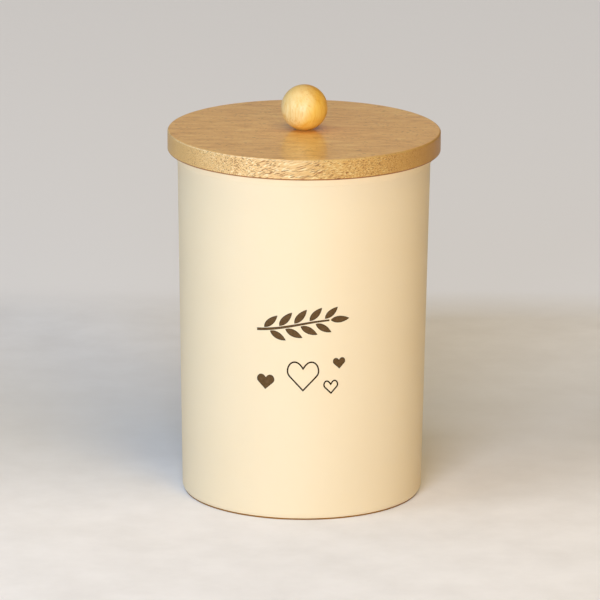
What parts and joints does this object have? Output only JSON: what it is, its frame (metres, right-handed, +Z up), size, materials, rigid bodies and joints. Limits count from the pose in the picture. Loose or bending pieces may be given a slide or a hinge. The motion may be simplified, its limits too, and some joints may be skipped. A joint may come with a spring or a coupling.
{
  "type": "salt canister",
  "caption": "Round kitchen canister for salt: tapered painted steel can with a hemmed rim, and a plug-in wooden lid with a silicone seal and a ball knob.",
  "frame": {"origin": "centre of the base, on the table", "axes": "+Z up along the can's axis, the printed front of the can faces -Y"},
  "size_m": [0.118, 0.118, 0.1802],
  "materials": {
    "cream_paint": "satin cream powder coat on steel sheet",
    "lid_wood": "satin clear lacquer",
    "knob_wood": "satin clear lacquer",
    "seal_silicone": "translucent white silicone",
    "screw_steel": "bright zinc plate"
  },
  "bodies": {
    "canister": {"canister_wall": "cream_paint", "canister_base": "cream_paint"},
    "lid": {"lid_board": "lid_wood", "lid_plug": "lid_wood", "seal_ring": "seal_silicone", "knob": "knob_wood", "knob_screw": "screw_steel", "screw_washer": "screw_steel"}
  },
  "joints": [
    {"name": "lid_lift", "type": "slide", "parent": "canister", "child": "lid", "axis": [0, 0, 1], "range_m": [0, 0.1]}
  ]
}
